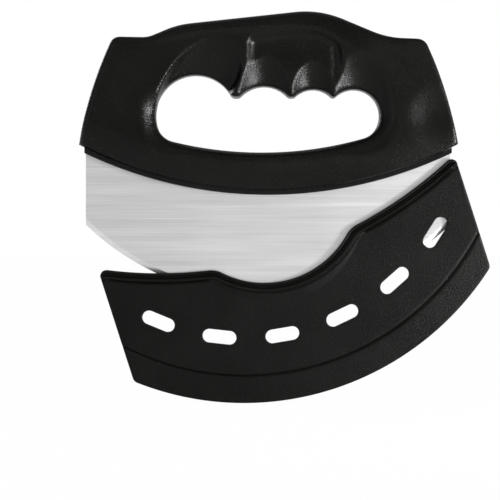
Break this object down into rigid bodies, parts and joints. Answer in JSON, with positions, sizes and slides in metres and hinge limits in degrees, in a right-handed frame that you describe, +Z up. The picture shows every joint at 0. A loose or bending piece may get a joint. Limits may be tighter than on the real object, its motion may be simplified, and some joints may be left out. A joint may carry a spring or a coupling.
{
  "type": "rocking pizza knife",
  "caption": "Rocking pizza knife with a wide curved steel blade under a closed hand grip with finger scoops, its slotted blade cover swung half off at the right shoulder.",
  "frame": {"origin": "middle of the part's length and thickness, at the height of the cover's lowest point in the stored pose", "axes": "+X along the knife, to the right as seen from the front; +Y through its thickness, from front to rear; +Z up, from the cutting edge to the grip"},
  "size_m": [0.205, 0.028, 0.1952],
  "materials": {
    "blade_steel": "fine lengthwise brushing, satin",
    "pin_steel": "plain turned",
    "collar_plastic": "matte black",
    "handle_plastic": "satin black with a fine grain",
    "cover_plastic": "matte black with a fine grain"
  },
  "bodies": {
    "knife": {"blade": "blade_steel", "blade_collar": "collar_plastic", "tang_pin_1": "pin_steel", "tang_pin_2": "pin_steel", "tang_pin_3": "pin_steel", "tang_pin_4": "pin_steel", "handle_front_shell": "handle_plastic", "handle_rear_shell": "handle_plastic"},
    "cover": {"cover_front_half": "cover_plastic", "cover_rear_half": "cover_plastic"}
  },
  "joints": [
    {"name": "cover_swing", "type": "hinge", "parent": "knife", "child": "cover", "pos_m": [0.08799, 0, 0.1231], "axis": [0, -1, 0], "range_deg": [-17.8, 72.2]}
  ]
}
